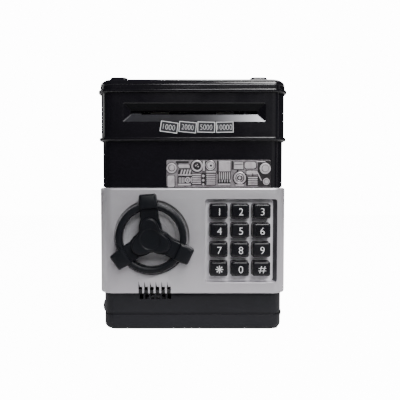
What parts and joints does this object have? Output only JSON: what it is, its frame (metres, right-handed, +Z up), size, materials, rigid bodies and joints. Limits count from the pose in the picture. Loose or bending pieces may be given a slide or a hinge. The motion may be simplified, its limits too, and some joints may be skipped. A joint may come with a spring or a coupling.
{
  "type": "toy savings bank",
  "caption": "Upright toy cash-machine savings bank: note slot with powered feeder, coin slot in the lid, code keypad and three-armed hand wheel on a hinged silver door.",
  "frame": {"origin": "middle of the underside, on the floor", "axes": "+Z up; the front with the door faces -Y; +X to the right of someone looking at the front"},
  "size_m": [0.1408, 0.1252, 0.188],
  "materials": {
    "base_black": "satin dark grey moulded plastic",
    "gloss_black": "glossy black moulded plastic",
    "inner_black": "plain black moulded plastic, inner side",
    "door_silver": "silver sprayed satin plastic",
    "relief_silver": "silver hot-stamped relief on black plastic",
    "key_black": "glossy black key with a white printed sign",
    "wheel_black": "dark satin-gloss plastic",
    "label_print": "printed label, white outline and digits on black",
    "steel": "zinc-plated steel",
    "spring_steel": "nickel-plated spring wire",
    "board_green": "green solder mask on glass-fibre board",
    "component_black": "black moulded chips and connectors",
    "cell_wrap": "printed metal jacket of a dry cell",
    "wire_pvc": "PVC wire insulation",
    "speaker_frame": "black speaker basket and magnet cup",
    "paper_cone": "black pressed paper",
    "white_plastic": "natural white acetal",
    "silicone_grey": "grey silicone",
    "roller_rubber": "black ground rubber",
    "guide_grey": "dark grey moulded plastic",
    "motor_steel": "plated motor can",
    "copper_coil": "enamelled copper winding",
    "brass": "machined brass"
  },
  "bodies": {
    "case": {"base_tray": "base_black", "inner_floor": "inner_black", "battery_door": "base_black", "battery_door_screw": "steel", "battery_cells": "cell_wrap", "battery_springs": "spring_steel", "battery_plates": "spring_steel", "battery_leads": "wire_pvc", "main_board": "board_green", "board_parts": "component_black", "speaker_frame": "speaker_frame", "speaker_cone": "paper_cone", "body_shell": "gloss_black", "strike_plate": "steel", "relief_plate": "relief_silver", "case_screws": "steel", "upper_housing": "gloss_black", "value_labels": "label_print", "top_lid": "gloss_black", "coin_chute": "guide_grey", "feeder_frame": "guide_grey", "feeder_screws": "steel", "note_guide": "guide_grey", "note_sensor": "component_black", "feed_motor": "motor_steel", "idler_pin": "steel", "hinge_pins": "steel"},
    "door": {"door_shell": "door_silver", "door_back": "inner_black", "door_screws": "steel", "keypad_membrane": "silicone_grey", "keypad_board": "board_green", "keypad_screws": "steel", "solenoid_frame": "motor_steel", "solenoid_coil": "copper_coil", "plunger_spring": "spring_steel"},
    "hand_wheel_set": {"hand_wheel": "wheel_black", "hub_cap": "wheel_black", "latch_shaft": "steel", "latch_finger": "steel", "lock_disc": "white_plastic"},
    "lock_plunger": {"plunger": "steel"},
    "feed_roller": {"roller_shaft": "steel", "feed_rollers": "roller_rubber", "roller_gear": "white_plastic"},
    "pinch_roller_set": {"pinch_roller": "white_plastic"},
    "idler": {"idler_gear": "white_plastic"},
    "motor_rotor": {"motor_pinion": "brass"},
    "button_1": {"key_1": "key_black"},
    "button_2": {"key_2": "key_black"},
    "button_3": {"key_3": "key_black"},
    "button_4": {"key_4": "key_black"},
    "button_5": {"key_5": "key_black"},
    "button_6": {"key_6": "key_black"},
    "button_7": {"key_7": "key_black"},
    "button_8": {"key_8": "key_black"},
    "button_9": {"key_9": "key_black"},
    "button_star": {"key_star": "key_black"},
    "button_0": {"key_0": "key_black"},
    "button_hash": {"key_hash": "key_black"}
  },
  "joints": [
    {"name": "door_hinge", "type": "hinge", "parent": "case", "child": "door", "pos_m": [0.06, -0.0457, 0], "axis": [0, 0, 1], "range_deg": [0, 90]},
    {"name": "wheel_turn", "type": "hinge", "parent": "door", "child": "hand_wheel_set", "pos_m": [-0.0296, -0.0583, 0.0705], "axis": [0, 1, 0], "range_deg": [-90, 0]},
    {"name": "plunger_slide", "type": "slide", "parent": "door", "child": "lock_plunger", "axis": [-1, 0, 0], "range_m": [0, 0.003], "deforming": ["plunger_spring"]},
    {"name": "feed_roller_spin", "type": "hinge", "parent": "case", "child": "feed_roller", "pos_m": [0, -0.0355, 0.15375], "axis": [1, 0, 0], "continuous": true},
    {"name": "pinch_roller_spin", "type": "hinge", "parent": "case", "child": "pinch_roller_set", "pos_m": [0, -0.0355, 0.16505], "axis": [1, 0, 0], "continuous": true},
    {"name": "idler_spin", "type": "hinge", "parent": "case", "child": "idler", "pos_m": [0, -0.0235, 0.15375], "axis": [1, 0, 0], "continuous": true},
    {"name": "motor_spin", "type": "hinge", "parent": "case", "child": "motor_rotor", "pos_m": [0, -0.011, 0.15375], "axis": [1, 0, 0], "continuous": true},
    {"name": "press_1", "type": "slide", "parent": "door", "child": "button_1", "axis": [0, 1, 0], "range_m": [0, 0.0012], "stiffness_N_per_m": 200},
    {"name": "press_2", "type": "slide", "parent": "door", "child": "button_2", "axis": [0, 1, 0], "range_m": [0, 0.0012], "stiffness_N_per_m": 200},
    {"name": "press_3", "type": "slide", "parent": "door", "child": "button_3", "axis": [0, 1, 0], "range_m": [0, 0.0012], "stiffness_N_per_m": 200},
    {"name": "press_4", "type": "slide", "parent": "door", "child": "button_4", "axis": [0, 1, 0], "range_m": [0, 0.0012], "stiffness_N_per_m": 200},
    {"name": "press_5", "type": "slide", "parent": "door", "child": "button_5", "axis": [0, 1, 0], "range_m": [0, 0.0012], "stiffness_N_per_m": 200},
    {"name": "press_6", "type": "slide", "parent": "door", "child": "button_6", "axis": [0, 1, 0], "range_m": [0, 0.0012], "stiffness_N_per_m": 200},
    {"name": "press_7", "type": "slide", "parent": "door", "child": "button_7", "axis": [0, 1, 0], "range_m": [0, 0.0012], "stiffness_N_per_m": 200},
    {"name": "press_8", "type": "slide", "parent": "door", "child": "button_8", "axis": [0, 1, 0], "range_m": [0, 0.0012], "stiffness_N_per_m": 200},
    {"name": "press_9", "type": "slide", "parent": "door", "child": "button_9", "axis": [0, 1, 0], "range_m": [0, 0.0012], "stiffness_N_per_m": 200},
    {"name": "press_star", "type": "slide", "parent": "door", "child": "button_star", "axis": [0, 1, 0], "range_m": [0, 0.0012], "stiffness_N_per_m": 200},
    {"name": "press_0", "type": "slide", "parent": "door", "child": "button_0", "axis": [0, 1, 0], "range_m": [0, 0.0012], "stiffness_N_per_m": 200},
    {"name": "press_hash", "type": "slide", "parent": "door", "child": "button_hash", "axis": [0, 1, 0], "range_m": [0, 0.0012], "stiffness_N_per_m": 200}
  ],
  "couplings": [
    {"joint": "pinch_roller_spin", "follows": "feed_roller_spin", "ratio": -1.75},
    {"joint": "idler_spin", "follows": "feed_roller_spin", "ratio": -3},
    {"joint": "motor_spin", "follows": "feed_roller_spin", "ratio": 12}
  ]
}
